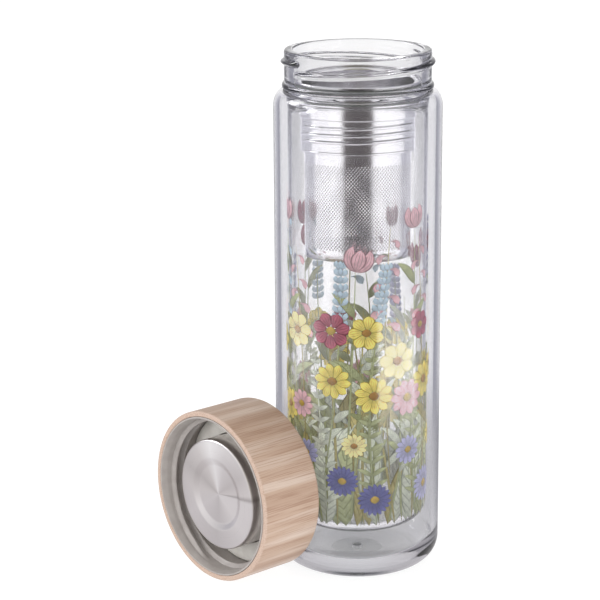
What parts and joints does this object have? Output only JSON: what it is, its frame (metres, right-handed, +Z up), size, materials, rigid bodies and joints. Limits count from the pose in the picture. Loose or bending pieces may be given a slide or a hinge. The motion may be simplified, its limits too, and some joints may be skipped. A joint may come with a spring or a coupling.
{
  "type": "tea infuser bottle",
  "caption": "Clear double-walled glass tea bottle with a lift-out steel infuser hung in its neck and a bamboo screw cap that stands beside it.",
  "frame": {"origin": "centre of the bottle's underside, on the surface that it stands on", "axes": "+Z up along the bottle's axis, -X the way the loose cap's mouth points"},
  "size_m": [0.0969, 0.09, 0.215],
  "materials": {
    "borosilicate_glass": "clear, fire-polished, with a printed flower pattern on the inner wall",
    "clear_sealant": "clear sealant",
    "stainless_steel": "bright drawn sheet, perforated",
    "clear_silicone": "translucent moulded silicone",
    "bamboo": "turned and lightly oiled bamboo",
    "grey_polypropylene": "moulded, satin",
    "brushed_steel": "circular brushed",
    "white_silicone": "moulded silicone"
  },
  "bodies": {
    "bottle": {"glass_body": "borosilicate_glass", "vent_seal": "clear_sealant"},
    "infuser": {"infuser_collar": "stainless_steel", "infuser_basket": "stainless_steel", "infuser_base": "stainless_steel", "infuser_seal": "clear_silicone"},
    "cap_ring": {"cap_gasket": "white_silicone"},
    "cap": {"cap_shell": "bamboo", "cap_liner": "grey_polypropylene", "cap_plug": "brushed_steel"}
  },
  "joints": [
    {"name": "infuser_lift", "type": "slide", "parent": "bottle", "child": "infuser", "axis": [0, 0, 1], "range_m": [0, 0.09]},
    {"name": "cap_draw", "type": "slide", "parent": "bottle", "child": "cap_ring", "axis": [-1, 0, 0], "range_m": [0, 0.06]},
    {"name": "cap_turn", "type": "hinge", "parent": "cap_ring", "child": "cap", "pos_m": [-0.0486, 0.0205, 0.0355], "axis": [-1, 0, 0], "continuous": true}
  ]
}
